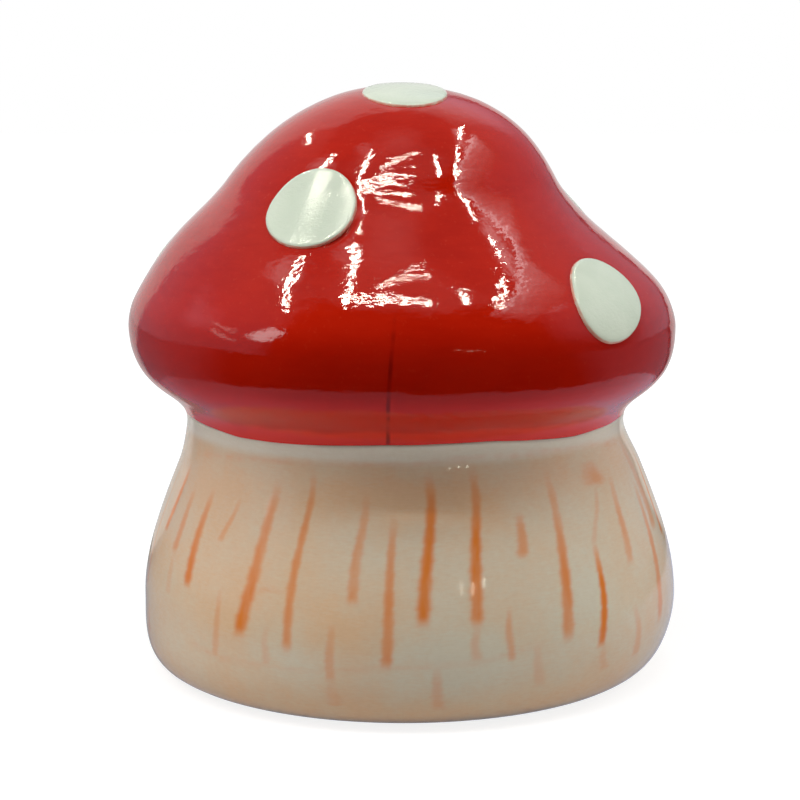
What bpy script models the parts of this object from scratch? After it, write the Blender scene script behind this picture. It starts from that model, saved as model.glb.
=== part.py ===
"""A hollow glazed toadstool ornament: two clay castings that lap at the neck, and raised discs on the dome.

Metres, +Z up. The origin is on the table, under the middle of the ornament. The front faces -Y, and an azimuth
runs from there towards +X. An outline is a list of (radius, height) that runs from the crown down to the foot.
"""

import math
from typing import NamedTuple

import bmesh
import bpy
from mathutils import Vector
from mathutils.bvhtree import BVHTree
from mathutils.geometry import interpolate_bezier, intersect_point_line

# Heights, each measured from the one before it
BULGE_ABOVE_TABLE = 0.0207
NECK_ABOVE_BULGE = 0.0477
JOINT_ABOVE_NECK = 0.0030
RIM_ABOVE_JOINT = 0.0231
FLANK_ABOVE_RIM = 0.0388
CROWN_ABOVE_FLANK = 0.0262

# Outside radii
FOOT_RADIUS = 0.0605
BULGE_RADIUS = 0.0740
NECK_RADIUS = 0.0604
CAP_RADIUS = 0.0750
FLANK_RADIUS = 0.0456

# How far the outline runs straight on at each place before it turns
FOOT_RUN = 0.0045
BULGE_DOWN_RUN = 0.0215
BULGE_UP_RUN = 0.0182
NECK_DOWN_RUN = 0.0070
NECK_UP_RUN = 0.0105
RIM_DOWN_RUN = 0.0180
RIM_UP_RUN = 0.0142
FLANK_DOWN_RUN = 0.0124
FLANK_UP_RUN = 0.0050
CROWN_RUN = 0.0312

# Slopes of the outline, in degrees from the level
FLANK_SLOPE = 55.0
FOOT_SLOPE = 16.0

# How far the hand-finished clay drifts sideways at each place, from the middle of the cap's widest ring.
# The shares say how far up the stalk and the dome a place lies.
FOOT_DRIFT = 0.0004
BULGE_DRIFT = 0.0021
NECK_DRIFT = 0.0009
SHOULDER_DRIFT = -0.0002
FLANK_DRIFT = -0.0035
CROWN_DRIFT = -0.0003
STALK_SHARE = 0.75
SHOULDER_SHARE = 0.22
FLANK_SHARE = 0.76

# Walls, the lap at the neck and the underside
WALL = 0.005
CLEARANCE = 0.0003
TONGUE_WALL = 0.0014
TONGUE_HEIGHT = 0.003
FOOT_RING_WIDTH = 0.009
RECESS_DEPTH = 0.0025
RECESS_SLOPE_WIDTH = 0.002
POUR_HOLE_RADIUS = 0.012
POUR_HOLE_BEVEL = 0.001

# Raised discs
DISC_LENGTH = 0.0270
DISC_WIDTH = 0.0240
DISC_RELIEF = 0.0013
DISC_EDGE = 0.0007
DISC_LIFT = 0.00035
DISC_TOP_SHARES = (0.45, 0.80)  # shares of the half width at which the flat of the top has its rings
DISC_ROUNDING_SHARE = 0.94
DISC_TUCK_SHARE = 0.97
DISC_UNDER_SHARES = (0.80, 0.60, 0.40, 0.20)
DISC_SOFTENING = 0.25  # share of the edge that is gone where the rounding starts

# Facets
TURN_STEPS = 56
CURVE_STEPS = 8
INNER_STRIDE = 2
DISC_STEPS = 24
SHARP_ANGLE = math.radians(40)
FOLD_SHARE = 0.98  # an inner point that lies nearer than this share of the wall has folded over

BULGE_Z = BULGE_ABOVE_TABLE
NECK_Z = BULGE_Z + NECK_ABOVE_BULGE
JOINT_Z = NECK_Z + JOINT_ABOVE_NECK
RIM_Z = JOINT_Z + RIM_ABOVE_JOINT
FLANK_Z = RIM_Z + FLANK_ABOVE_RIM
CROWN_Z = FLANK_Z + CROWN_ABOVE_FLANK
FLOOR_Z = RECESS_DEPTH + WALL
TONGUE_Z = JOINT_Z + TONGUE_HEIGHT


class Disc(NamedTuple):
    """Where a disc lies on the dome, how its two widths differ from the usual ones, and how uneven its hand-cut
    outline is. Angles are in degrees."""

    azimuth: float
    down: float  # share of the way along the outline from the crown to the rim
    longer: float  # share of DISC_LENGTH
    wider: float  # share of DISC_WIDTH
    turn: float  # of the long axis, anticlockwise from the level
    uneven: float  # share of the width
    phase: float


DISCS = {
    "spot_crown": Disc(5.5, 0.105, 0.98, 0.95, 85, 0.010, 40),
    "spot_front_left": Disc(-24.1, 0.576, 0.95, 1.01, 126, 0.020, 200),
    "spot_front_right": Disc(49.4, 0.864, 1.07, 0.95, 33, 0.020, 150),
    "spot_right": Disc(114, 0.60, 0.96, 1.00, 20, 0.020, 90),
    "spot_left": Disc(-106, 0.86, 1.00, 0.98, 70, 0.020, 10),
    "spot_back_left": Disc(-142, 0.50, 0.94, 1.00, 150, 0.015, 300),
    "spot_back_right": Disc(150, 0.88, 1.02, 1.00, 95, 0.020, 250),
    "spot_back": Disc(-170, 0.82, 0.98, 1.00, 40, 0.020, 120),
}


def remove_everything():
    for thing in list(bpy.data.objects):
        bpy.data.objects.remove(thing, do_unlink=True)


def glaze(name, colour, roughness):
    """Coloured clay under a clear glossy coat."""
    material = bpy.data.materials.new(name)
    material.use_nodes = True
    shader = material.node_tree.nodes["Principled BSDF"]
    shader.inputs["Base Color"].default_value = (*colour, 1)
    shader.inputs["Roughness"].default_value = roughness
    shader.inputs["Metallic"].default_value = 0.0
    shader.inputs["Coat Weight"].default_value = 1.0
    shader.inputs["Coat Roughness"].default_value = 0.04
    material.diffuse_color = (*colour, 1)
    return material


def stretch(*corners):
    """One Bezier stretch of the outline, without its last point, where the next one starts."""
    return [tuple(point) for point in interpolate_bezier(*map(Vector, corners), CURVE_STEPS + 1)[:-1]]


def outer_outline():
    flank = Vector((FLANK_RADIUS, FLANK_Z))
    down_flank = Vector((math.cos(math.radians(FLANK_SLOPE)), -math.sin(math.radians(FLANK_SLOPE))))
    rim = Vector((CAP_RADIUS, RIM_Z))
    neck = Vector((NECK_RADIUS, NECK_Z))
    bulge = Vector((BULGE_RADIUS, BULGE_Z))
    foot = Vector((FOOT_RADIUS, 0))
    up_foot = Vector((math.cos(math.radians(FOOT_SLOPE)), math.sin(math.radians(FOOT_SLOPE))))
    up = Vector((0, 1))
    crown_to_flank = stretch((0, CROWN_Z), (CROWN_RUN, CROWN_Z), flank - FLANK_UP_RUN * down_flank, flank)
    flank_to_rim = stretch(flank, flank + FLANK_DOWN_RUN * down_flank, rim + RIM_UP_RUN * up, rim)
    rim_to_neck = stretch(rim, rim - RIM_DOWN_RUN * up, neck + NECK_UP_RUN * up, neck)
    neck_to_bulge = stretch(neck, neck - NECK_DOWN_RUN * up, bulge + BULGE_UP_RUN * up, bulge)
    bulge_to_foot = stretch(bulge, bulge - BULGE_DOWN_RUN * up, foot + FOOT_RUN * up_foot, foot)
    return crown_to_flank + flank_to_rim + rim_to_neck + neck_to_bulge + bulge_to_foot + [tuple(foot)]


def outward(outline, index):
    """Unit vector out of the clay at one point of an outline. The dome is level at its crown."""
    if index == 0:
        return Vector((0, 1))
    before = Vector(outline[index - 1])
    after = Vector(outline[min(index + 1, len(outline) - 1)])
    along = (after - before).normalized()
    return Vector((-along.y, along.x))


def distance_to(outline, point):
    nearest = math.inf
    for start, end in zip(outline, outline[1:]):
        foot, share = intersect_point_line(point, start, end)
        if share < 0:
            foot = Vector(start)
        elif share > 1:
            foot = Vector(end)
        nearest = min(nearest, (foot - point).length)
    return nearest


def inner_outline(outline):
    """The outline moved into the clay by the wall. Points that a tight bend would fold over are left out."""
    inner = []
    for index in range(0, len(outline), INNER_STRIDE):
        point = Vector(outline[index]) - WALL * outward(outline, index)
        if distance_to(outline, point) > FOLD_SHARE * WALL:
            inner.append(tuple(point))
    return inner


def radius_at(outline, height):
    for (radius, z), (next_radius, next_z) in zip(outline, outline[1:]):
        if next_z <= height <= z:
            return radius + (next_radius - radius) * (z - height) / (z - next_z)
    return outline[-1][0]


def down_to(outline, height):
    """The part of an outline above a height, ended at that height."""
    return [point for point in outline if point[1] > height] + [(radius_at(outline, height), height)]


def down_from(outline, height):
    """The part of an outline below a height, started at that height."""
    return [(radius_at(outline, height), height)] + [point for point in outline if point[1] < height]


def drift(height):
    """Sideways place of the ornament's middle at a height, eased from each named place to the next."""
    reach_left = max(CAP_RADIUS, BULGE_RADIUS - BULGE_DRIFT)
    reach_right = max(CAP_RADIUS, BULGE_RADIUS + BULGE_DRIFT)
    centring = (reach_left - reach_right) / 2
    places = [
        (0, FOOT_DRIFT),
        (BULGE_Z, BULGE_DRIFT),
        (BULGE_Z + STALK_SHARE * NECK_ABOVE_BULGE, BULGE_DRIFT),
        (NECK_Z, NECK_DRIFT),
        (RIM_Z, 0),
        (RIM_Z + SHOULDER_SHARE * FLANK_ABOVE_RIM, SHOULDER_DRIFT),
        (RIM_Z + FLANK_SHARE * FLANK_ABOVE_RIM, FLANK_DRIFT),
        (CROWN_Z, CROWN_DRIFT),
    ]
    for (low, at_low), (high, at_high) in zip(places, places[1:]):
        if height <= high:
            share = max(0.0, (height - low) / (high - low))
            return centring + at_low + (at_high - at_low) * share * share * (3 - 2 * share)
    return centring + CROWN_DRIFT


def finish(name, mesh_data, material):
    """Turns a bmesh into a named, smoothly shaded object."""
    bmesh.ops.recalc_face_normals(mesh_data, faces=mesh_data.faces)
    mesh = bpy.data.meshes.new(name)
    mesh_data.to_mesh(mesh)
    mesh_data.free()
    mesh.shade_smooth()
    mesh.set_sharp_from_angle(angle=SHARP_ANGLE)
    mesh.materials.append(material)
    made = bpy.data.objects.new(name, mesh)
    bpy.context.scene.collection.objects.link(made)
    return made


def turned(section, closed):
    """A bmesh of the section spun about the vertical, then drifted as the clay is."""
    made = bmesh.new()
    corners = [made.verts.new((radius, 0, height)) for radius, height in section]
    pairs = zip(corners, corners[1:] + corners[:1]) if closed else zip(corners, corners[1:])
    edges = [made.edges.new(pair) for pair in pairs]
    bmesh.ops.spin(
        made, geom=corners + edges, cent=(0, 0, 0), axis=(0, 0, 1), angle=math.tau, steps=TURN_STEPS, use_merge=True
    )
    bmesh.ops.remove_doubles(made, verts=made.verts, dist=1e-6)
    for vertex in made.verts:
        vertex.co.x += drift(vertex.co.z)
    return made


def cap_section(outer, inner):
    """The dome's wall from the crown's outside to its inside, stepped at the neck over the stalk's tongue."""
    lowest = JOINT_Z + CLEARANCE / 2
    step = TONGUE_Z + CLEARANCE
    step_radius = tongue_radius(inner) + CLEARANCE
    return down_to(outer, lowest) + [(step_radius, lowest), (step_radius, step)] + down_to(inner, step)[::-1]


def tongue_radius(inner):
    return radius_at(inner, TONGUE_Z) + TONGUE_WALL


def stalk_section(outer, inner):
    """The stalk's closed section: tongue, outside, foot ring, recess, pour hole, floor and inside."""
    shoulder = JOINT_Z - CLEARANCE / 2
    tongue = tongue_radius(inner)
    ring_inside = FOOT_RADIUS - FOOT_RING_WIDTH
    section = [(tongue, TONGUE_Z), (tongue, shoulder)]
    section += down_from(outer, shoulder)
    section += [(ring_inside, 0), (ring_inside - RECESS_SLOPE_WIDTH, RECESS_DEPTH)]
    section += [
        (POUR_HOLE_RADIUS + POUR_HOLE_BEVEL, RECESS_DEPTH),
        (POUR_HOLE_RADIUS, RECESS_DEPTH + POUR_HOLE_BEVEL),
        (POUR_HOLE_RADIUS, FLOOR_Z - POUR_HOLE_BEVEL),
        (POUR_HOLE_RADIUS + POUR_HOLE_BEVEL, FLOOR_Z),
    ]
    inside = [point for point in down_from(inner, TONGUE_Z) if point[1] > FLOOR_Z]
    inside.append((radius_at(inner, FLOOR_Z), FLOOR_Z))
    return section + inside[::-1]


def place_on_dome(outer, share):
    """The point and outward direction of the outline this share of the way from the crown to the rim."""
    dome = down_to(outer, RIM_Z)
    lengths = [math.dist(start, end) for start, end in zip(dome, dome[1:])]
    left = share * sum(lengths)
    for index, length in enumerate(lengths):
        if left <= length:
            part = left / length
            point = Vector(dome[index]).lerp(Vector(dome[index + 1]), part)
            return point, outward(dome, index).lerp(outward(dome, index + 1), part).normalized()
        left -= length
    return Vector(dome[-1]), Vector((1, 0))


def disc_mesh(disc, outer, dome):
    """A disc that follows the dome: a domed top with a rounded edge, and an underside a hair off the glaze."""
    (radius, height), (out, rise) = place_on_dome(outer, disc.down)
    azimuth = math.radians(disc.azimuth)
    turn = math.radians(disc.turn)
    outwards = Vector((math.sin(azimuth), -math.cos(azimuth), 0))
    middle = radius * outwards + Vector((drift(height), 0, height))
    normal = out * outwards + Vector((0, 0, rise))
    side = Vector((math.cos(azimuth), math.sin(azimuth), 0))
    up = normal.cross(side)
    long_axis = math.cos(turn) * side + math.sin(turn) * up
    short_axis = math.cos(turn) * up - math.sin(turn) * side

    def point(step, share, lift):
        angle = math.tau * step / DISC_STEPS
        uneven = share * (1 + disc.uneven * math.cos(3 * angle + math.radians(disc.phase)))
        along = uneven * disc.longer * DISC_LENGTH / 2 * math.cos(angle)
        across = uneven * disc.wider * DISC_WIDTH / 2 * math.sin(angle)
        start = middle + along * long_axis + across * short_axis + DISC_LENGTH * normal
        on_dome, facing, _, _ = dome.ray_cast(start, -normal)
        return on_dome + lift * facing

    section = [(share, DISC_RELIEF) for share in DISC_TOP_SHARES]
    section.append((DISC_ROUNDING_SHARE, DISC_RELIEF - DISC_SOFTENING * DISC_EDGE))
    section.append((1, DISC_RELIEF - DISC_EDGE))
    section += [(share, DISC_LIFT) for share in (DISC_TUCK_SHARE, *DISC_UNDER_SHARES)]
    made = bmesh.new()
    rings = []
    for share, lift in section:
        rings.append([made.verts.new(point(step, share, lift)) for step in range(DISC_STEPS)])
    top = made.verts.new(point(0, 0, DISC_RELIEF))
    bottom = made.verts.new(point(0, 0, DISC_LIFT))
    for step in range(DISC_STEPS):
        after = (step + 1) % DISC_STEPS
        made.faces.new((top, rings[0][step], rings[0][after]))
        made.faces.new((bottom, rings[-1][after], rings[-1][step]))
        for ring, next_ring in zip(rings, rings[1:]):
            made.faces.new((ring[step], next_ring[step], next_ring[after], ring[after]))
    return made


def main():
    remove_everything()
    red = glaze("red_glaze", (0.52, 0.008, 0.012), 0.30)
    cream = glaze("cream_glaze", (0.74, 0.60, 0.44), 0.35)
    white = glaze("white_glaze", (0.62, 0.70, 0.58), 0.35)
    outer = outer_outline()
    inner = inner_outline(outer)
    cap = turned(cap_section(outer, inner), closed=False)
    dome = BVHTree.FromBMesh(cap)
    finish("cap_shell", cap, red)
    finish("stalk_shell", turned(stalk_section(outer, inner), closed=True), cream)
    for name, disc in DISCS.items():
        finish(name, disc_mesh(disc, outer, dome), white)


main()
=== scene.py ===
"""A glazed ceramic toadstool ornament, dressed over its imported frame.

It has a red cap, a cream stalk and raised white spots. Metres, +Z up. The photographed side faces -Y, and an
azimuth runs from there towards +X.
"""

import math

import bpy
import numpy as np
from mathutils import Matrix, Vector


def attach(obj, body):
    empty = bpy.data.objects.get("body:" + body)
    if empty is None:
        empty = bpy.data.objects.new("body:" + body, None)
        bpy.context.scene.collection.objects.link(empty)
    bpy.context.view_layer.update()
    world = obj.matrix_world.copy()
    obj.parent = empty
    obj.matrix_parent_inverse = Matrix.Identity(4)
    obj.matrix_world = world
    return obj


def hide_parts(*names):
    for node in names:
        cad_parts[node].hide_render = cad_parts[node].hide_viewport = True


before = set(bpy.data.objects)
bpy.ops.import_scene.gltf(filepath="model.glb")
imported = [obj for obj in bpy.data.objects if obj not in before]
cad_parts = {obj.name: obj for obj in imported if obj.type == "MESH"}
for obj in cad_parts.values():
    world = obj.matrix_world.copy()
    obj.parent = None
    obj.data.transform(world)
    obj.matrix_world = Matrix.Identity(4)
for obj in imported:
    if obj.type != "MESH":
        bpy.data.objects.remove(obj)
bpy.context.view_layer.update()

MM = 0.001

# Outline, as the solids have it: heights, radii, how far it runs straight on at each place, and slopes
BULGE_Z = 0.0207
NECK_Z = 0.0684
JOINT_Z = 0.0714
RIM_Z = 0.0945
FLANK_Z = 0.1333
CROWN_Z = 0.1595
FOOT_RADIUS, FOOT_RUN, FOOT_SLOPE = 0.0605, 0.0045, 16.0
BULGE_RADIUS, BULGE_DOWN_RUN, BULGE_UP_RUN = 0.0740, 0.0215, 0.0182
NECK_RADIUS, NECK_DOWN_RUN, NECK_UP_RUN = 0.0604, 0.0070, 0.0105
CAP_RADIUS, RIM_DOWN_RUN, RIM_UP_RUN = 0.0750, 0.0180, 0.0142
FLANK_RADIUS, FLANK_DOWN_RUN, FLANK_UP_RUN, FLANK_SLOPE = 0.0456, 0.0124, 0.0050, 55.0
CROWN_RUN = 0.0312

# Sideways drift of the hand-finished clay at each height, before it is centred
DRIFTS = [
    (0.0, 0.0004),
    (BULGE_Z, 0.0021),
    (BULGE_Z + 0.75 * (NECK_Z - BULGE_Z), 0.0021),
    (NECK_Z, 0.0009),
    (RIM_Z, 0.0),
    (RIM_Z + 0.22 * (FLANK_Z - RIM_Z), -0.0002),
    (RIM_Z + 0.76 * (FLANK_Z - RIM_Z), -0.0035),
    (CROWN_Z, -0.0003),
]
CENTRING = -0.00055

# Walls and the underside
WALL = 0.005
FOOT_RING_WIDTH = 0.009
RECESS_DEPTH = 0.0025
RECESS_SLOPE_WIDTH = 0.002
POUR_HOLE_RADIUS = 0.012
POUR_HOLE_BEVEL = 0.001
FLOOR_Z = RECESS_DEPTH + WALL

# Raised discs: azimuth, share of the way down the dome, half length and half width as shares of these two,
# turn, unevenness of the edge, its phase, and share of the full relief
DISC_HALF_LENGTH = 0.0135
DISC_HALF_WIDTH = 0.0120
DISCS = {
    "spot_crown": (5.5, 0.105, 0.98, 0.95, 85, 0.010, 40, 0.70),
    "spot_front_left": (-24.1, 0.576, 0.95, 1.01, 126, 0.020, 200, 0.85),
    "spot_front_right": (49.4, 0.864, 1.07, 0.95, 33, 0.020, 150, 0.70),
    "spot_right": (114, 0.60, 0.96, 1.00, 20, 0.020, 90, 0.90),
    "spot_left": (-106, 0.86, 1.00, 0.98, 70, 0.020, 10, 0.80),
    "spot_back_left": (-142, 0.50, 0.94, 1.00, 150, 0.015, 300, 0.95),
    "spot_back_right": (150, 0.88, 1.02, 1.00, 95, 0.020, 250, 0.80),
    "spot_back": (-170, 0.82, 0.98, 1.00, 40, 0.020, 120, 0.90),
}

# Hand-painted lower edge of the red: azimuth, height above or below the joint in millimetres
PAINT_EDGE = [
    (-66, -0.1), (-56, -0.4), (-45, -1.0), (-32, -0.9), (-26, -0.8), (-14, -0.2), (-4, 0.3), (8, 0.6),
    (17, 0.65), (21, 0.6), (31, -0.1), (41, -0.8), (46, -1.0), (53, -0.7), (61, -0.3), (75, 0.1), (95, -0.4),
    (120, 0.2), (145, -0.5), (170, 0.3), (200, -0.3), (230, 0.4), (255, -0.2), (280, 0.2),
]
PAINT_WOBBLE = 0.05 * MM

# Orange brush strokes on the stalk: azimuth and height in mm at the top, the same at the bottom, width in mm,
# strength
STROKES = [
    (-61.4, 54.3, -62.1, 37.9, 2.2, 0.55), (-62.1, 37.9, -61.1, 27.1, 2.2, 0.20),
    (-53.2, 55.6, -53.7, 31.0, 2.4, 0.90), (-42.5, 55.4, -45.3, 44.1, 1.4, 0.40),
    (-31.9, 60.1, -36.1, 22.3, 2.7, 1.00), (-23.1, 64.8, -25.2, 20.4, 1.8, 0.70),
    (-10.2, 59.4, -11.7, 33.6, 2.0, 0.65), (-3.7, 53.7, -4.9, 17.8, 2.0, 0.90),
    (-42.3, 33.4, -42.7, 15.1, 1.7, 0.30), (-29.6, 26.1, -29.9, 15.9, 1.7, 0.25),
    (-15.9, 28.4, -15.6, 13.8, 1.8, 0.45), (-15.2, 13.9, -14.5, 6.9, 2.6, 0.20),
    (4.9, 64.3, 2.4, 28.7, 2.4, 0.90), (15.3, 64.9, 12.8, 28.2, 2.3, 0.95),
    (12.8, 28.2, 12.7, 19.4, 2.0, 0.30), (25.0, 54.3, 24.1, 43.7, 2.2, 0.60),
    (34.7, 62.7, 32.8, 21.9, 2.4, 0.85), (49.6, 63.6, 49.2, 57.6, 5.6, 0.45),
    (49.2, 57.6, 43.6, 44.4, 1.5, 0.25), (43.6, 44.4, 41.7, 18.3, 1.9, 0.95),
    (41.7, 18.3, 43.8, 11.5, 2.1, 0.25), (56.1, 58.9, 53.6, 36.9, 2.2, 0.55),
    (71.4, 65.5, 71.0, 41.7, 3.0, 0.50), (67.6, 55.1, 64.6, 18.6, 2.4, 0.60),
    (19.7, 32.2, 19.8, 18.6, 1.6, 0.45), (25.1, 22.8, 27.0, 11.0, 2.2, 0.25),
    (4.7, 18.3, 6.7, 6.4, 2.2, 0.35), (52.8, 26.5, 54.9, 12.0, 2.6, 0.35),
]

# Between these azimuths, where nothing is shown, strokes are drawn at random
UNSEEN_FROM = 78.0
UNSEEN_TO = 292.0

# Thin edges where a wash of orange dried: azimuths and heights along it, width in mm, strength
WASH_LINES = [
    ([(-65, 63.3), (-45, 65.3), (-18, 66.6), (-4, 66.7), (18, 68.2), (53, 67.2), (69, 65.8)], 1.5, 0.20),
    ([(-50, 17.1), (-41, 15.2), (-21, 15.8), (-4, 18.1), (13, 18.8), (26, 22.3)], 1.5, 0.17),
    ([(-35, 33.5), (-29, 35.2), (-24, 33.8)], 1.3, 0.24),
    ([(100, 64), (150, 66), (180, 66.5)], 1.5, 0.20),
    ([(-180, 66.5), (-140, 65), (-100, 64.5)], 1.5, 0.20),
]

# Where the cream wash is more peach than elsewhere, or less: azimuth, height in mm, half sizes, strength
WASH_LEVEL = 0.42
WASHES = [
    (0, 60, 46, 6.5, 0.55), (-62, 56, 20, 13, 0.50), (-36, 27, 13, 11, 0.40), (-13, 27, 10, 8, 0.45),
    (10, 17, 15, 11, -0.50), (38, 34, 14, 14, -0.28), (-24, 18, 9, 5, -0.30), (66, 24, 9, 8, 0.40),
    (0, 4, 90, 8, 0.55), (-70, 30, 12, 18, 0.42), (-24, 40, 12, 9, 0.30), (-50, 38, 10, 12, 0.35),
    (62, 50, 12, 8, -0.15), (20, 48, 10, 7, 0.15), (52, 60, 14, 7, 0.20),
]

# The mould's seam up the cap's front and again up its back: its lean, how that changes with height, its soft
# edges either side, and the heights between which it comes in
SEAM_LEAN = -0.1434
SEAM_LEAN_RATE = 1.045
SEAM_EDGES = (0.00080, 0.00015)
SEAM_HEIGHTS = (0.108, 0.098)

# Heights between which the red turns darker, painted shade on the cap's lower bulge, then brighter under the
# cap, partly thinner glaze and partly painted light bounced up from the floor, and the stalk's wash turns
# pale
RED_PAINTED_SHADE = (0.105, 0.096)
RED_THIN_AND_PAINTED_BOUNCE = (0.0875, 0.0815)
PALE_BAND = (0.0655, 0.0682)

rng = np.random.default_rng(7)


def smooth(low, high, value):
    share = np.clip((value - low) / (high - low), 0, 1)
    return share * share * (3 - 2 * share)


# The outline and its place in space


def stretch(*corners, steps=80):
    """One Bezier stretch without its last point."""
    share = np.arange(steps)[:, None] / steps
    left = 1 - share
    a, b, c, d = (np.array(corner, float) for corner in corners)
    return left**3 * a + 3 * left**2 * share * b + 3 * left * share**2 * c + share**3 * d


def outer_outline():
    """Radius and height of the smooth outside, from the crown down to the foot."""
    slope = math.radians(FLANK_SLOPE)
    down_flank = np.array([math.cos(slope), -math.sin(slope)])
    foot_slope = math.radians(FOOT_SLOPE)
    up_foot = np.array([math.cos(foot_slope), math.sin(foot_slope)])
    flank = np.array([FLANK_RADIUS, FLANK_Z])
    rim = np.array([CAP_RADIUS, RIM_Z])
    neck = np.array([NECK_RADIUS, NECK_Z])
    bulge = np.array([BULGE_RADIUS, BULGE_Z])
    foot = np.array([FOOT_RADIUS, 0])
    up = np.array([0, 1])
    return np.vstack(
        [
            stretch((0, CROWN_Z), (CROWN_RUN, CROWN_Z), flank - FLANK_UP_RUN * down_flank, flank),
            stretch(flank, flank + FLANK_DOWN_RUN * down_flank, rim + RIM_UP_RUN * up, rim),
            stretch(rim, rim - RIM_DOWN_RUN * up, neck + NECK_UP_RUN * up, neck),
            stretch(neck, neck - NECK_DOWN_RUN * up, bulge + BULGE_UP_RUN * up, bulge),
            stretch(bulge, bulge - BULGE_DOWN_RUN * up, foot + FOOT_RUN * up_foot, foot),
            [foot],
        ]
    )


OUTLINE = outer_outline()
ARC = np.concatenate([[0], np.cumsum(np.hypot(*np.diff(OUTLINE, axis=0).T))])
TANGENT = np.gradient(OUTLINE, ARC, axis=0)
TANGENT[0] = (1, 0)
TANGENT /= np.linalg.norm(TANGENT, axis=1)[:, None]


def at_arc(arc):
    """Radius, height and the two parts of the outward direction at places along the outline."""
    radius, height = (np.interp(arc, ARC, column) for column in OUTLINE.T)
    along_r, along_z = (np.interp(arc, ARC, column) for column in TANGENT.T)
    length = np.hypot(along_r, along_z)
    return radius, height, -along_z / length, along_r / length


def arc_of(height):
    """How far down the outline from the crown a height lies."""
    return np.interp(-np.asarray(height), -OUTLINE[:, 1], ARC)


def radius_of(height):
    return np.interp(-np.asarray(height), -OUTLINE[:, 1], OUTLINE[:, 0])


def drift(height):
    """How far to the right the middle of the clay lies at a height."""
    found = np.zeros_like(np.asarray(height, float)) + CENTRING
    found += DRIFTS[0][1]
    for (low, at_low), (high, at_high) in zip(DRIFTS, DRIFTS[1:]):
        found += (at_high - at_low) * smooth(low, high, height)
    return found


def in_space(radius, height, azimuth):
    right = drift(height) + radius * np.sin(azimuth)
    return np.stack(np.broadcast_arrays(right, -radius * np.cos(azimuth), height), axis=-1)


# Relief of the clay


class Waves:
    """A smooth random field made of plane waves, about -1 to 1."""

    def __init__(self, shortest, longest, count=24):
        lengths = rng.uniform(shortest, longest, count)
        ways = rng.normal(size=(count, 3))
        ways /= np.linalg.norm(ways, axis=1)[:, None]
        self.waves = math.tau * ways / lengths[:, None]
        self.phases = rng.uniform(0, math.tau, count)
        self.scale = 1 / math.sqrt(count)

    def __call__(self, points):
        total = np.zeros(points.shape[:-1])
        for wave, phase in zip(self.waves, self.phases):
            total += np.sin(points @ wave + phase)
        return total * self.scale


class Ripples:
    """Brushed ripples that run nearly level round the cap, as a field of azimuth and arc."""

    def __init__(self, shortest, longest, most_turns, count=40):
        self.turns = rng.integers(-most_turns, most_turns + 1, count)
        self.rates = math.tau / rng.uniform(shortest, longest, count)
        self.phases = rng.uniform(0, math.tau, count)
        self.scale = 1 / math.sqrt(count)

    def __call__(self, azimuth, arc):
        total = 0
        for turns, rate, phase in zip(self.turns, self.rates, self.phases):
            total = total + np.sin(turns * azimuth + rate * arc + phase)
        return total * self.scale


hand_waves = Waves(18 * MM, 48 * MM)
short_waves = Waves(5 * MM, 11 * MM)
ripples = Ripples(3.6 * MM, 8 * MM, 26)
edge_ripples = Ripples(4 * MM, 9 * MM, 30, 20)


# How far from a disc's middle the dome is looked for, and how often that way is halved
DOME_REACH = 0.02
HALVINGS = 30


class DiscPlace:
    """Where a disc lies: its middle, its outward direction, and its two axes."""

    def __init__(self, azimuth, down, longer, wider, turn, uneven, phase, relief):
        azimuth, turn = math.radians(azimuth), math.radians(turn)
        radius, height, out, rise = (float(value) for value in at_arc(down * arc_of(RIM_Z)))
        outwards = np.array([math.sin(azimuth), -math.cos(azimuth), 0])
        self.middle = in_space(radius, height, azimuth)
        self.normal = out * outwards + np.array([0, 0, rise])
        side = np.array([math.cos(azimuth), math.sin(azimuth), 0])
        up = np.cross(self.normal, side)
        self.long_axis = math.cos(turn) * side + math.sin(turn) * up
        self.short_axis = math.cos(turn) * up - math.sin(turn) * side
        self.half_length = longer * DISC_HALF_LENGTH
        self.half_width = wider * DISC_HALF_WIDTH
        self.uneven = uneven
        self.phase = math.radians(phase)
        self.relief = relief
        self.turn = turn

    def reach(self, angle):
        """How far out the uneven edge lies at an angle, where 1 is a true ellipse."""
        return 1 + self.uneven * np.cos(3 * angle + self.phase)

    def outside(self, points):
        """Distance of points outside the disc's edge, negative inside, and the angle round the disc."""
        away = points - self.middle
        along = away @ self.long_axis / self.half_length
        across = away @ self.short_axis / self.half_width
        angle = np.arctan2(across, along)
        share = np.hypot(along, across) / self.reach(angle)
        far = (away @ self.normal) < -DOME_REACH
        return np.where(far, 1.0, (share - 1) * (self.half_length + self.half_width) / 2), angle

    def on_dome(self, angle, share):
        """Points of the smooth dome under the disc."""
        along = share * self.reach(angle) * self.half_length * np.cos(angle)
        across = share * self.reach(angle) * self.half_width * np.sin(angle)
        start = self.middle + along[..., None] * self.long_axis + across[..., None] * self.short_axis
        low, high = np.full(along.shape, -DOME_REACH), np.full(along.shape, DOME_REACH)
        for _ in range(HALVINGS):
            middle = (low + high) / 2
            points = start + middle[..., None] * self.normal
            x, y, z = np.moveaxis(points, -1, 0)
            inside = np.hypot(x - drift(z), y) < radius_of(z)
            inside &= z < CROWN_Z
            low, high = np.where(inside, middle, low), np.where(inside, high, middle)
        return start + ((low + high) / 2)[..., None] * self.normal


DISC_PLACES = {name: DiscPlace(*values) for name, values in DISCS.items()}

# How far the skin waves about the outline: as shaped by hand, in brushed ripples, and finely
HAND_RELIEF = 0.13 * MM
RIPPLE_RELIEF = 0.010 * MM
FINE_RELIEF = 0.006 * MM
STALK_HAND_RELIEF = 0.06 * MM
STALK_FINE_RELIEF = 0.004 * MM
STALK_INSET = 0.08 * MM

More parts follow.
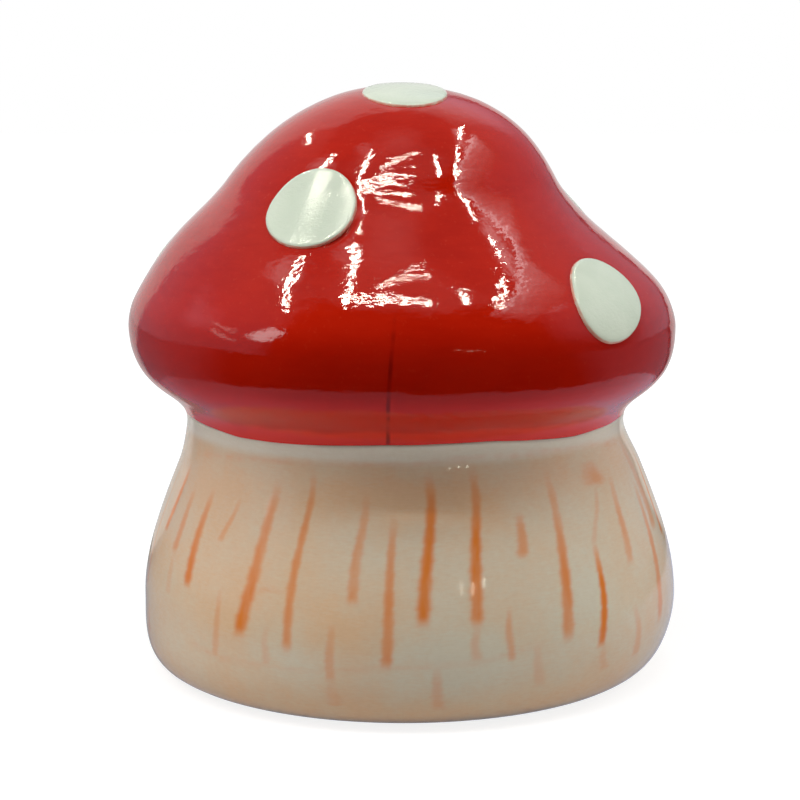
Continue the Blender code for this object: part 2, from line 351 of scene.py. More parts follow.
# The groove round each disc, its deeper stretch beside one disc, and how far the clay under each is pressed
GROOVE_DEPTH = 0.05 * MM
GROOVE_AWAY = 0.3 * MM
GROOVE_WIDTH = 0.9 * MM
DEEP_GROOVE = 0.45 * MM
DEEP_GROOVE_TURN = math.radians(-35)
DEEP_GROOVE_SPREAD = 0.42
PRESSED = 0.25 * MM


def cap_relief(points, azimuth, arc):
    """How far the cap's skin stands off the outline, and how much darker the red turns in the grooves, 0 to
    1.
    """
    lift = HAND_RELIEF * hand_waves(points) - HAND_RELIEF
    lift = lift + RIPPLE_RELIEF * ripples(azimuth, arc) + FINE_RELIEF * short_waves(points)
    darker_in_groove = np.zeros(azimuth.shape)
    for name, place in DISC_PLACES.items():
        away, angle = place.outside(points)
        depth = np.full(away.shape, GROOVE_DEPTH)
        if name == "spot_front_left":
            turned = np.mod(angle + place.turn - DEEP_GROOVE_TURN + math.pi, math.tau) - math.pi
            depth = depth + DEEP_GROOVE * np.exp(-((turned / DEEP_GROOVE_SPREAD) ** 2))
        groove = np.exp(-(((away - GROOVE_AWAY) / GROOVE_WIDTH) ** 2))
        lift = lift - depth * groove - PRESSED * smooth(0.2 * MM, -1.5 * MM, away)
        darker_in_groove = np.maximum(darker_in_groove, groove * np.clip(depth / DEEP_GROOVE, 0, 1) * smooth(-3 * MM, 0, away))
    return lift, darker_in_groove


def stalk_relief(points):
    return STALK_HAND_RELIEF * hand_waves(points) - STALK_INSET + STALK_FINE_RELIEF * short_waves(points)


# Meshes


def grid_faces(rows, columns):
    """Quads of rows of points, each row a closed ring."""
    row = np.arange(rows - 1)[:, None] * columns
    column = np.arange(columns)[None, :]
    after = (column + 1) % columns
    below = row + columns
    return np.stack([row + column, row + after, below + after, below + column], axis=-1).reshape(-1, 4)


def fans(rows, columns):
    """Triangles that close the first and the last row onto the two points that come after all rows."""
    column = np.arange(columns)
    after = (column + 1) % columns
    last = (rows - 1) * columns
    first_middle = np.full(columns, rows * columns)
    over = np.stack([first_middle, after, column], axis=-1)
    under = np.stack([first_middle + 1, last + column, last + after], axis=-1)
    return np.vstack([over, under])


def mesh_piece(name, points, quads, triangles, materials, attributes, slots=None):
    """A smooth piece: quads, then triangles, with values on its points and a material slot for each face."""
    mesh = bpy.data.meshes.new(name)
    corners = np.concatenate([quads.ravel(), triangles.ravel()]).astype(np.int32)
    starts = np.concatenate([np.arange(len(quads)) * 4, len(quads) * 4 + np.arange(len(triangles)) * 3])
    mesh.vertices.add(len(points))
    mesh.vertices.foreach_set("co", np.ascontiguousarray(points, np.float32).ravel())
    mesh.loops.add(len(corners))
    mesh.loops.foreach_set("vertex_index", corners)
    mesh.polygons.add(len(starts))
    mesh.polygons.foreach_set("loop_start", starts.astype(np.int32))
    for material in materials:
        mesh.materials.append(material)
    if slots is not None:
        mesh.polygons.foreach_set("material_index", slots.astype(np.int32))
    mesh.update(calc_edges=True)
    mesh.validate()
    mesh.shade_smooth()
    for key, values in attributes.items():
        made = mesh.attributes.new(key, "FLOAT", "POINT")
        made.data.foreach_set("value", np.ascontiguousarray(values, np.float32).ravel())
    piece = bpy.data.objects.new(name, mesh)
    bpy.context.scene.collection.objects.link(piece)
    return piece


def paint_edge(azimuth):
    """Height of the red paint's lower edge round the neck."""
    angles = np.radians([angle for angle, _ in PAINT_EDGE])
    heights = np.array([height for _, height in PAINT_EDGE]) * MM
    angles = np.concatenate([angles - math.tau, angles, angles + math.tau])
    heights = np.tile(heights, 3)
    fine = np.interp(azimuth, angles, heights)
    return JOINT_Z + fine + PAINT_WOBBLE * edge_ripples(azimuth, 0)


# The red glaze ends in a rounded lip, and the rows of points close up towards it: distances from its edge
LIP = 0.12 * MM
LIP_ROUND = 0.30 * MM
LIP_ROWS = np.array([3.2, 2.4, 1.7, 1.2, 0.85, 0.60, 0.42, 0.30, 0.22, 0.15, 0.09, 0.04, 0.0]) * MM

# Distances from that edge between which the red turns thin, and how unevenly
THIN_FROM = 5.6 * MM
THIN_TO = 3.4 * MM
THIN_WOBBLE = 0.35 * MM

# The stalk's skin starts just under the lip, is drawn in below it, and loses its relief towards the foot
TUCKED = 0.03 * MM
NECK_INSET = 0.10 * MM
NECK_FADE = 4 * MM
FOOT_INSET = 0.05 * MM
FOOT_FADE = 3 * MM

# How far from the joint the inside walls end, and how far in the stalk's one stands
CAP_LEDGE = 0.6 * MM
STALK_LEDGE = 1.2 * MM
STALK_INSIDE = 0.2 * MM

# Eased corners of the underside: width, the same at the ring's inner edge, height, and bulge of a bevel
CORNER_WIDTH = 0.6 * MM
RING_CORNER_WIDTH = 0.5 * MM
CORNER_HEIGHT = 0.15 * MM
BEVEL_BULGE = 0.3 * MM
RECESS_MIDWAY = 0.030

CAP_COLUMNS = 560
CAP_ROWS = 150
CAP_INSIDE_ROWS = 18
STALK_COLUMNS = 960
STALK_ROWS = 84
STALK_INSIDE_ROWS = 9


def inner_rows(high, low, count):
    """Radius and height of the inside wall between two heights, from the top down."""
    arcs = np.linspace(0, ARC[-1], 400)
    radius, height, out, rise = at_arc(arcs)
    radius, height = radius - WALL * out, height - WALL * rise
    keep = radius > 0
    radius, height = radius[keep], height[keep]
    order = np.argsort(height)
    heights = np.linspace(high, low, count)
    return np.interp(heights, height[order], radius[order]), heights


def make_cap(materials):
    azimuth = np.linspace(0, math.tau, CAP_COLUMNS, endpoint=False) + math.pi
    edge_arc = arc_of(paint_edge(azimuth))
    upper = np.linspace(0, 1, CAP_ROWS + 1)[1:-1, None] * (edge_arc - LIP_ROWS[0])[None, :]
    arcs = np.vstack([upper, edge_arc[None, :] - LIP_ROWS[:, None]])
    radius, height, out, rise = at_arc(arcs)
    around = np.broadcast_to(azimuth, arcs.shape)
    lift, darker_in_groove = cap_relief(in_space(radius, height, around), around, arcs)
    left = edge_arc[None, :] - arcs
    turned = np.clip(1 - left / LIP_ROUND, 0, 1)
    lift = lift - LIP * (1 - np.sqrt(1 - turned**2))
    outer = in_space(radius + lift * out, height + lift * rise, around)
    thin = smooth(THIN_FROM, THIN_TO, left + THIN_WOBBLE * edge_ripples(around, arcs))
    inside_r, inside_z = inner_rows(CROWN_Z - WALL, JOINT_Z + CAP_LEDGE, CAP_INSIDE_ROWS)
    inside_r, inside_z = inside_r[:0:-1], inside_z[:0:-1]
    inner = in_space(inside_r[:, None], inside_z[:, None], azimuth[None, :])
    rings = np.vstack([outer, inner])
    zero = np.zeros(1)
    crown, _ = cap_relief(in_space(zero, np.full(1, CROWN_Z), zero), zero, zero)
    points = np.vstack(
        [
            rings.reshape(-1, 3),
            in_space(0, CROWN_Z + crown[0], 0)[None, :],
            in_space(0, CROWN_Z - WALL, 0)[None, :],
        ]
    )
    quads = grid_faces(len(rings), CAP_COLUMNS)[:, ::-1]
    triangles = fans(len(rings), CAP_COLUMNS)[:, ::-1]
    bare_quads = np.arange(len(quads)) // CAP_COLUMNS >= len(outer) - 1
    bare_triangles = np.arange(len(triangles)) >= CAP_COLUMNS
    bare = np.concatenate([bare_quads, bare_triangles])
    rest = len(points) - darker_in_groove.size
    attributes = {
        "darker_in_groove": np.concatenate([darker_in_groove.ravel(), np.zeros(rest)]),
        "thin": np.concatenate([thin.ravel(), np.zeros(rest)]),
    }
    return mesh_piece("cap_glazed", points, quads, triangles, materials, attributes, bare)


def unseen_strokes():
    """Strokes like the listed ones, for the rest of the stalk."""
    strokes = []
    at = UNSEEN_FROM
    while at < UNSEEN_TO:
        top = rng.uniform(48, 65)
        length = rng.uniform(14, 40)
        lean = rng.uniform(-2.5, 2.5)
        strength = rng.choice([0.95, 0.85, 0.6, 0.35])
        strokes.append((at, top, at + lean, max(12, top - length), rng.uniform(1.6, 2.7), strength))
        if rng.random() < 0.4:
            low = rng.uniform(14, 30)
            strokes.append((at + 4, low, at + 4 + rng.uniform(-1, 1), low - rng.uniform(8, 14), 2.0, 0.35))
        at += rng.uniform(7, 12)
    return strokes


def stroke_field(azimuth, height):
    """How much orange each place on the stalk carries, 0 to 1."""
    orange = np.zeros(azimuth.shape)
    for top_azimuth, top, bottom_azimuth, bottom, width, strength in STROKES + unseen_strokes():
        wobble, phase = rng.uniform(0.15, 0.45) * MM, rng.uniform(0, math.tau)
        heavy = rng.uniform(0.35, 0.75)
        share = (top * MM - height) / ((top - bottom) * MM)
        middle = np.radians(top_azimuth + (bottom_azimuth - top_azimuth) * np.clip(share, -0.2, 1.2))
        turn = np.mod(azimuth - middle + math.pi, math.tau) - math.pi
        aside = turn * radius_of(height) + wobble * np.sin(6 * share + phase)
        ragged = 1 + 0.10 * np.sin(41 * share + 3 * phase) + 0.07 * np.sin(97 * share + 5 * phase)
        half = width * MM / 2 * (1.02 + 0.46 * smooth(0.0, 0.9, share)) * ragged
        across = np.exp(-((np.abs(aside) / half) ** 3.4))
        along = smooth(-0.06, 0.16, share) * smooth(1.04, 0.93, share)
        along = along * (0.50 + 0.50 * smooth(0.0, heavy, share))
        orange = np.maximum(orange, strength * across * along)
    for points, width, strength in WASH_LINES:
        angles, heights = np.array(points, float).T
        turned = np.degrees(np.mod(azimuth + math.pi, math.tau) - math.pi)
        middle = np.interp(turned, angles, heights) * MM + 0.25 * MM * edge_ripples(azimuth, 0)
        inside = smooth(angles[0] - 3, angles[0] + 3, turned) * smooth(angles[-1] + 3, angles[-1] - 3, turned)
        uneven = 0.7 + 0.3 * edge_ripples(3 * azimuth, 0)
        line = np.exp(-(((height - middle) / (width * MM / 2)) ** 2))
        orange = np.maximum(orange, strength * inside * uneven * line)
    return np.clip(orange, 0, 1)


def wash_field(azimuth, height):
    """How peach the cream wash is at each place on the stalk, 0 to 1."""
    peach = WASH_LEVEL + np.zeros(azimuth.shape)
    turned = np.mod(azimuth + math.pi, math.tau) - math.pi
    for at, middle, half_turn, half_height, strength in WASHES:
        aside = (np.mod(turned - math.radians(at) + math.pi, math.tau) - math.pi) / math.radians(half_turn)
        peach = peach + strength * np.exp(-(aside**2) - ((height / MM - middle) / half_height) ** 2)
    unseen = smooth(math.radians(70), math.radians(95), np.abs(turned))
    peach = peach + 0.35 * unseen * hand_waves(in_space(radius_of(height), height, azimuth))
    return np.clip(peach, 0, 1)


def underside():
    """Radius and height from the foot ring across the recess and up through the pour hole."""
    ring_inside = FOOT_RADIUS - FOOT_RING_WIDTH
    recess = ring_inside - RECESS_SLOPE_WIDTH
    return [
        (FOOT_RADIUS - CORNER_WIDTH, 0),
        (ring_inside + RING_CORNER_WIDTH, 0),
        (ring_inside, CORNER_HEIGHT),
        (recess, RECESS_DEPTH - CORNER_HEIGHT),
        (recess - CORNER_WIDTH, RECESS_DEPTH),
        (RECESS_MIDWAY, RECESS_DEPTH),
        (POUR_HOLE_RADIUS + POUR_HOLE_BEVEL, RECESS_DEPTH),
        (POUR_HOLE_RADIUS + BEVEL_BULGE, RECESS_DEPTH + BEVEL_BULGE),
        (POUR_HOLE_RADIUS, RECESS_DEPTH + POUR_HOLE_BEVEL),
        (POUR_HOLE_RADIUS, FLOOR_Z - POUR_HOLE_BEVEL),
        (POUR_HOLE_RADIUS + POUR_HOLE_BEVEL, FLOOR_Z),
    ]


def make_stalk(materials):
    azimuth = np.linspace(0, math.tau, STALK_COLUMNS, endpoint=False) + math.pi
    edge_arc = arc_of(paint_edge(azimuth)) - TUCKED
    shares = np.linspace(0, 1, STALK_ROWS)[:, None]
    arcs = edge_arc[None, :] + shares * (ARC[-1] - edge_arc)[None, :]
    radius, height, out, rise = at_arc(arcs)
    around = np.broadcast_to(azimuth, arcs.shape)
    points = in_space(radius, height, around)
    fade = smooth(0, FOOT_FADE, height)
    lift = stalk_relief(points) * fade - FOOT_INSET * (1 - fade)
    lift = lift - NECK_INSET * smooth(NECK_FADE, 0, arcs - edge_arc[None, :])
    outer = in_space(radius + lift * out, height + lift * rise * fade, around)
    orange = stroke_field(around, height)
    peach = wash_field(around, height)
    inside_r, inside_z = inner_rows(JOINT_Z - STALK_LEDGE, FLOOR_Z + BEVEL_BULGE, STALK_INSIDE_ROWS)
    inside = list(zip(inside_r[::-1] - STALK_INSIDE, inside_z[::-1]))
    section = np.array(underside() + inside)
    inner = in_space(section[:, :1], section[:, 1:], azimuth[None, :])
    rings = np.vstack([outer, inner])
    quads = grid_faces(len(rings), STALK_COLUMNS)
    columns = np.arange(STALK_COLUMNS)
    after = (columns + 1) % STALK_COLUMNS
    last = (len(rings) - 1) * STALK_COLUMNS
    closing = np.stack([last + columns, last + after, after, columns], axis=-1)
    quads = np.vstack([quads, closing])[:, ::-1]
    bare = np.arange(len(quads)) // STALK_COLUMNS >= len(outer) - 1
    rest = len(rings) * STALK_COLUMNS - orange.size
    attributes = {
        "orange": np.concatenate([orange.ravel(), np.zeros(rest)]),
        "peach": np.concatenate([peach.ravel(), np.zeros(rest)]),
    }
    points = rings.reshape(-1, 3)
    no_triangles = np.zeros((0, 3), int)
    return mesh_piece("stalk_glazed", points, quads, no_triangles, materials, attributes, bare)


# A disc's rings as shares of the way out, which close up towards its rounded edge, and those under it
DISC_ANGLES = 160
DISC_RINGS = np.concatenate(
    [np.linspace(0, 0.86, 26)[1:], np.linspace(0.86, 0.97, 10)[1:], np.linspace(0.97, 1, 16)[1:]]
)
DISC_UNDER_RINGS = np.array([0.9, 0.5])
DISC_EDGE_POWER = 32

# A disc starts so many mm below the dome, rises so many at full relief, and waves finely on top
DISC_SUNK = 0.45
DISC_RISE = 1.50
DISC_UNDERSIDE = 0.9 * MM
DISC_RELIEF = 0.010 * MM


def make_disc(name, place, material):
    angle = np.linspace(0, math.tau, DISC_ANGLES, endpoint=False)[None, :]
    share = DISC_RINGS[:, None]
    angle, share = np.broadcast_arrays(angle, share)
    ground = place.on_dome(angle, share)
    rounded = np.sqrt(np.clip(1 - share**DISC_EDGE_POWER, 0, 1))
    lift = (-DISC_SUNK + DISC_RISE * rounded * place.relief) * MM
    lift = lift + DISC_RELIEF * short_waves(ground) * (1 - share**4)
    top = ground + lift[..., None] * place.normal
    under_angle, under_share = np.broadcast_arrays(angle[:1], DISC_UNDER_RINGS[:, None])
    under = place.on_dome(under_angle, under_share) - DISC_UNDERSIDE * place.normal
    rings = np.vstack([top, under])
    zero = np.zeros(1)
    centre = place.on_dome(zero, zero)[0]
    middle_top = centre + (-DISC_SUNK + DISC_RISE * place.relief) * MM * place.normal
    middle_under = centre - DISC_UNDERSIDE * place.normal
    points = np.vstack([rings.reshape(-1, 3), [middle_top, middle_under]])
    quads = grid_faces(len(rings), DISC_ANGLES)[:, ::-1]
    triangles = fans(len(rings), DISC_ANGLES)[:, ::-1]
    attributes = {"share": np.concatenate([share.ravel(), np.ones(under_share.size), [0, 0]])}
    return mesh_piece(name + "_glazed", points, quads, triangles, [material], attributes)


# Materials


class Shader:
    """A material's node tree, built a node at a time."""

    def __init__(self, name):
        self.material = bpy.data.materials.new(name)
        self.material.use_nodes = True
        self.tree = self.material.node_tree
        self.surface = self.tree.nodes["Principled BSDF"]

    def set(self, socket, value):
        if isinstance(value, bpy.types.NodeSocket):
            self.tree.links.new(value, socket)
        elif isinstance(value, tuple) and len(value) == 3 and socket.type == "RGBA":
            socket.default_value = (*value, 1)
        else:
            socket.default_value = value

    def node(self, kind, inputs=(), **settings):
        made = self.tree.nodes.new(kind)
        for key, value in settings.items():
            setattr(made, key, value)
        for key, value in dict(inputs).items():
            self.set(made.inputs[key], value)
        return made

    def math(self, operation, *values, clamp=False):
        made = self.node("ShaderNodeMath", enumerate(values), operation=operation, use_clamp=clamp)
        return made.outputs[0]

    def mix(self, share, first, second, blend="MIX"):
        made = self.node("ShaderNodeMix", {0: share, 6: first, 7: second}, data_type="RGBA", blend_type=blend)
        return made.outputs[2]

    def tint(self, colour, where, strength, other, blend="MIX"):
        return self.mix(self.math("MULTIPLY", where, strength), colour, other, blend)

    def between(self, value, low, high, to_low=0.0, to_high=1.0):
        inputs = {0: value, 1: low, 2: high, 3: to_low, 4: to_high}
        return self.node("ShaderNodeMapRange", inputs, interpolation_type="SMOOTHSTEP").outputs[0]

    def attribute(self, name):
        return self.node("ShaderNodeAttribute", attribute_name=name).outputs["Fac"]

    def place(self, rotation=(0, 0, 0), scale=(1, 1, 1)):
        coordinates = self.node("ShaderNodeTexCoord").outputs["Object"]
        turned = self.node("ShaderNodeMapping", {"Vector": coordinates, "Rotation": rotation, "Scale": scale})
        return turned.outputs[0]

    def noise(self, vector, scale, detail=2.0, roughness=0.5, distortion=0.0):
        inputs = {"Vector": vector, "Scale": scale, "Detail": detail}
        inputs |= {"Roughness": roughness, "Distortion": distortion}
        return self.node("ShaderNodeTexNoise", inputs).outputs[0]

    def bump(self, height, distance, onto=None):
        """Fine relief of a height in metres, on top of what is bumped already."""
        inputs = {"Height": height, "Distance": distance, "Strength": 1.0}
        if onto is not None:
            inputs["Normal"] = onto
        return self.node("ShaderNodeBump", inputs).outputs[0]

    def finish(self, **sockets):
        for key, value in sockets.items():
            self.set(self.surface.inputs[key.replace("_", " ")], value)
        return self.material


def red_glaze():
    shader = Shader("red_brushed_glaze")
    level = shader.place(rotation=(0, math.radians(-13), 0), scale=(1, 1, 4.5))
    plain = shader.place()
    clouds = shader.between(shader.noise(plain, 38, 2), 0.30, 0.70)
    brushed = shader.between(shader.noise(level, 130, 3, 0.6), 0.30, 0.72)
    specks = shader.between(shader.noise(plain, 900, 1), 0.62, 0.80)
    parts = shader.node("ShaderNodeSeparateXYZ", {0: plain})
    colour = shader.mix(clouds, (0.47, 0.008, 0.001), (0.54, 0.012, 0.002))
    colour = shader.tint(colour, brushed, 0.32, (0.62, 0.018, 0.004))
    colour = shader.tint(colour, specks, 0.16, (0.70, 0.08, 0.04))
    # Painted shade: the red darkens on the cap's lower bulge, which faces down and away from the lamps
    painted_shade = shader.between(parts.outputs[2], *RED_PAINTED_SHADE)
    colour = shader.tint(colour, painted_shade, 0.55, (0.37, 0.006, 0.001))
    # Brighter red under the cap: partly thinner glaze, partly painted light bounced up from the floor
    under = shader.between(parts.outputs[2], *RED_THIN_AND_PAINTED_BOUNCE)
    colour = shader.tint(colour, under, 0.75, (0.68, 0.012, 0.003))
    thin = shader.attribute("thin")
    streaked = shader.math("MULTIPLY", thin, shader.between(shader.noise(level, 60, 3), 0.15, 0.6, 0.72, 1.0))
    colour = shader.mix(streaked, colour, (0.86, 0.034, 0.012))
    # The red darkens in the grooves round the discs, most where the groove beside the front-left disc runs
    # deep
    darker_in_groove = shader.attribute("darker_in_groove")
    colour = shader.tint(colour, darker_in_groove, 0.85, (0.22, 0.003, 0.002))
    lean = shader.math("MULTIPLY_ADD", parts.outputs[2], SEAM_LEAN_RATE, SEAM_LEAN)
    off_seam = shader.math("ABSOLUTE", shader.math("MULTIPLY_ADD", parts.outputs[1], lean, parts.outputs[0]))
    seam = shader.between(off_seam, *SEAM_EDGES)
    seam = shader.math("MULTIPLY", seam, shader.between(parts.outputs[2], *SEAM_HEIGHTS))
    broken = shader.between(shader.noise(plain, 170, 2), 0.34, 0.60, 0.25, 1.0)
    seam = shader.math("MULTIPLY", seam, broken)
    colour = shader.tint(colour, seam, 0.80, (0.20, 0.003, 0.001))
    rough = shader.between(shader.noise(plain, 160, 3), 0.3, 0.7, 0.022, 0.055)
    ripple = shader.bump(shader.noise(level, 95, 2, 0.55, 0.4), 0.000032)
    dimples = shader.bump(shader.noise(shader.place(scale=(1, 1, 1.5)), 360, 1, 0.5), 0.000052, ripple)
    brush = shader.bump(shader.noise(level, 420, 2, 0.6), 0.000013, dimples)
    peel = shader.bump(shader.noise(plain, 1100, 2, 0.6), 0.000013, brush)
    return shader.finish(Base_Color=colour, Roughness=rough, Normal=peel)


def cream_glaze():
    shader = Shader("cream_washed_glaze")
    plain = shader.place()
    level = shader.place(scale=(1, 1, 5))
    upright = shader.place(scale=(1, 1, 0.18))
    drags = shader.noise(upright, 150, 3, 0.6)
    lines = shader.noise(level, 420, 4, 0.7)
    height = shader.node("ShaderNodeSeparateXYZ", {0: plain}).outputs[2]
    patches = shader.between(shader.noise(plain, 60, 5, 0.62), 0.32, 0.68, -0.20, 0.20)
    peach = shader.math("ADD", shader.attribute("peach"), patches)
    streaks = shader.between(lines, 0.25, 0.75, -0.09, 0.09)
    peach = shader.math("ADD", peach, streaks, clamp=True)
    colour = shader.mix(peach, (0.80, 0.74, 0.59), (0.86, 0.60, 0.38))
    pale_band = shader.between(height, *PALE_BAND)
    colour = shader.tint(colour, pale_band, 0.95, (0.92, 0.87, 0.75))
    grain = shader.between(lines, 0.28, 0.72, 0.0, 1.0)
    colour = shader.tint(colour, grain, 0.16, (0.88, 0.76, 0.60), "MULTIPLY")
    orange = shader.attribute("orange")
    broken = shader.math("MULTIPLY", orange, shader.between(drags, 0.22, 0.62, 0.74, 1.10), clamp=True)
    mottled = shader.between(shader.noise(plain, 650, 3, 0.65), 0.30, 0.70)
    colour = shader.tint(colour, mottled, 0.16, (0.86, 0.84, 0.82), "MULTIPLY")
    colour = shader.mix(broken, colour, (0.86, 0.25, 0.045))
    rough = shader.between(shader.noise(plain, 150, 3), 0.3, 0.7, 0.035, 0.075)
    waves = shader.bump(shader.noise(level, 60, 2), 0.00003)
    brush = shader.bump(lines, 0.0000035, waves)
    return shader.finish(Base_Color=colour, Roughness=rough, Normal=brush)


def white_glaze():
    shader = Shader("mint_white_glaze")
    plain = shader.place()
    brushed = shader.place(rotation=(0, math.radians(35), 0), scale=(1, 1, 4))
    clouds = shader.between(shader.noise(plain, 90, 3), 0.3, 0.7)
    colour = shader.mix(clouds, (0.70, 0.79, 0.63), (0.78, 0.86, 0.70))
    strokes = shader.between(shader.noise(brushed, 320, 3, 0.6), 0.3, 0.7)
    colour = shader.tint(colour, strokes, 0.25, (0.76, 0.82, 0.68))
    outline = shader.between(shader.attribute("share"), 0.970, 0.992)
    torn = shader.between(shader.noise(plain, 380, 2), 0.3, 0.6, 0.35, 0.95)
    colour = shader.mix(shader.math("MULTIPLY", outline, torn), colour, (0.74, 0.27, 0.19))
    rough = shader.between(shader.noise(plain, 420, 2), 0.3, 0.7, 0.05, 0.11)
    uneven = shader.bump(shader.noise(brushed, 380, 3, 0.65), 0.000060)
    grain = shader.bump(shader.noise(plain, 1000, 2, 0.6), 0.000080, uneven)
    return shader.finish(Base_Color=colour, Roughness=rough, Normal=grain)


def bare_clay():
    shader = Shader("bare_fired_clay")
    plain = shader.place()
    clouds = shader.between(shader.noise(plain, 60, 4), 0.3, 0.7)
    colour = shader.mix(clouds, (0.66, 0.60, 0.52), (0.76, 0.71, 0.63))
    specks = shader.between(shader.noise(plain, 1400, 1), 0.68, 0.78)
    colour = shader.tint(colour, specks, 0.4, (0.40, 0.33, 0.27))
    rough = shader.between(shader.noise(plain, 300, 2), 0.3, 0.7, 0.82, 0.95)
    grain = shader.bump(shader.noise(plain, 900, 3), 0.00004)
    return shader.finish(Base_Color=colour, Roughness=rough, Normal=grain)


# Floor, world, lamps and what the glaze mirrors


def only_seen_by(thing, diffuse=False, glossy=False):
    thing.visible_camera = False
    thing.visible_diffuse = diffuse
    thing.visible_glossy = glossy
    thing.visible_transmission = glossy
    thing.visible_volume_scatter = False
    thing.visible_shadow = False


def stage_mesh(name, points, faces, material):
    mesh = bpy.data.meshes.new(name)
    mesh.from_pydata([tuple(point) for point in points], [], faces)
    mesh.materials.append(material)
    made = bpy.data.objects.new(name, mesh)
    bpy.context.scene.collection.objects.link(made)
    return made


# The floor: half width, colour to the camera, colour of the light it throws back, and the white that the
# camera sees on it, from and to a distance and a strength
FLOOR_HALF = 3.0
FLOOR_PAPER = (0.30, 0.30, 0.30, 1)
FLOOR_BOUNCE = (0.67, 0.65, 0.62, 1)
FLOOR_WHITE = (0.12, 0.50, 0.84, 1.0)


def make_floor():
    """Pale paper that goes over to plain white away from the object, as the camera sees it."""
    material = bpy.data.materials.new("floor_paper")
    material.use_nodes = True
    tree = material.node_tree
    nodes, links = tree.nodes, tree.links
    paper = nodes["Principled BSDF"]
    paper.inputs["Base Color"].default_value = FLOOR_PAPER
    paper.inputs["Roughness"].default_value = 0.9
    paper.inputs["Specular IOR Level"].default_value = 0.0
    place = nodes.new("ShaderNodeNewGeometry")
    away = nodes.new("ShaderNodeVectorMath")
    away.operation = "LENGTH"
    links.new(place.outputs["Position"], away.inputs[0])
    ramp = nodes.new("ShaderNodeMapRange")
    ramp.interpolation_type = "SMOOTHSTEP"
    for number, value in enumerate(FLOOR_WHITE, 1):
        ramp.inputs[number].default_value = value
    links.new(away.outputs["Value"], ramp.inputs[0])
    white = nodes.new("ShaderNodeEmission")
    links.new(ramp.outputs[0], white.inputs["Strength"])
    seen = nodes.new("ShaderNodeAddShader")
    links.new(paper.outputs[0], seen.inputs[0])
    links.new(white.outputs[0], seen.inputs[1])
    grey = nodes.new("ShaderNodeBsdfDiffuse")
    grey.inputs["Color"].default_value = FLOOR_BOUNCE
    path = nodes.new("ShaderNodeLightPath")
    both = nodes.new("ShaderNodeMixShader")
    links.new(path.outputs["Is Camera Ray"], both.inputs[0])
    links.new(grey.outputs[0], both.inputs[1])
    links.new(seen.outputs[0], both.inputs[2])
    links.new(both.outputs[0], nodes["Material Output"].inputs["Surface"])
    half = FLOOR_HALF
    corners = [(-half, -half, 0), (half, -half, 0), (half, half, 0), (-half, half, 0)]
    return stage_mesh("floor", corners, [(0, 1, 2, 3)], material)


# Strength of the world's light on the object
DIFFUSE_ROOM = 0.04


def make_world():
    """White to the camera, and almost nothing to the object, which mirrors the room instead."""
    world = bpy.data.worlds.new("studio")
    world.use_nodes = True
    bpy.context.scene.world = world
    tree = world.node_tree
    background = tree.nodes["Background"]
    background.inputs["Color"].default_value = (1, 1, 1, 1)
    path = tree.nodes.new("ShaderNodeLightPath")
    seen = tree.nodes.new("ShaderNodeMath")
    seen.operation = "MAXIMUM"
    seen.inputs[1].default_value = DIFFUSE_ROOM
    tree.links.new(path.outputs["Is Camera Ray"], seen.inputs[0])
    tree.links.new(seen.outputs[0], background.inputs["Strength"])


AIM = Vector((0, 0, 0.09))


def area_light(name, middle, long_way, length, width, strength, colour=(1, 1, 1), aim=AIM, **seen):
    """A rectangular lamp that faces a point. Its strength is its brightness, where 1 is white."""
    light = bpy.data.lights.new(name, "AREA")
    light.shape = "RECTANGLE"
    light.size = length
    light.size_y = width
    light.color = colour
    light.energy = strength * length * width * math.pi
    lamp = bpy.data.objects.new(name, light)
    middle = Vector(middle)
    back = (middle - aim).normalized()
    along = Vector(long_way)
    along = (along - along.dot(back) * back).normalized()
    across = back.cross(along)
    lamp.matrix_world = Matrix.Translation(middle) @ Matrix((along, across, back)).transposed().to_4x4()
    bpy.context.scene.collection.objects.link(lamp)
    only_seen_by(lamp, **seen)


def strip(name, start, end, width, strength):
    start, end = Vector((*start, STRIP_Z)), Vector((*end, STRIP_Z))
    length = (end - start).length
    area_light(name, (start + end) / 2, end - start, length, width, strength, STRIP_COLOUR, glossy=True)


# Soft lamps that light the clay but are not mirrored: azimuth, elevation, length, width, strength
SOFT_LAMPS = [
    (90, 4, 0.5, 0.5, 3.4),
    (-90, 4, 0.5, 0.5, 2.8),
    (0, 6, 0.5, 0.5, 0.32),
    (120, 25, 0.5, 0.5, 2.3),
    (-80, 50, 0.5, 0.5, 3.3),
    (-40, 50, 0.5, 0.5, 1.7),
    (80, 50, 0.5, 0.5, 1.8),
    (0, 70, 0.6, 0.02, 46),
    (0, 76, 0.6, 0.02, 28),
    (0, 80, 0.6, 0.02, 26),
]

# Ceiling lamps that only the glaze mirrors: both ends, width, strength
STRIP_Z = 0.70
STRIP_COLOUR = (1.0, 0.97, 0.80)
STRIPS = {
    "front_strip": ((-0.235, -0.296), (0.12, -0.285), 0.012, 78),
    "left_strip": ((-0.105, -0.075), (-0.236, -0.306), 0.012, 78),
    "right_strip": ((0.205, -0.165), (0.245, -0.250), 0.011, 78),
    "slant_strip": ((-0.065, -0.215), (0.115, -0.130), 0.009, 52),
    "far_left_strip": ((-0.385, 0.270), (-0.380, 0.380), 0.014, 78),
    "low_left_strip": ((-0.300, -0.020), (-0.470, -0.235), 0.013, 78),
    "near_right_strip": ((0.358, -0.225), (0.318, 0.005), 0.011, 78),
    "far_right_strip": ((0.308, 0.085), (0.292, 0.280), 0.011, 78),
}

# Panes of a window that the stalk's belly mirrors: azimuth and elevation, then what they share
PANES = [(22.5, 18.0), (27.5, 16.8), (32.0, 17.6)]
PANES_AWAY = 2.0
PANE_LENGTH = 0.10
PANE_WIDTH = 0.036
PANE_STRENGTH = 8.5
BELLY = Vector((0.017, -0.065, 0.05))

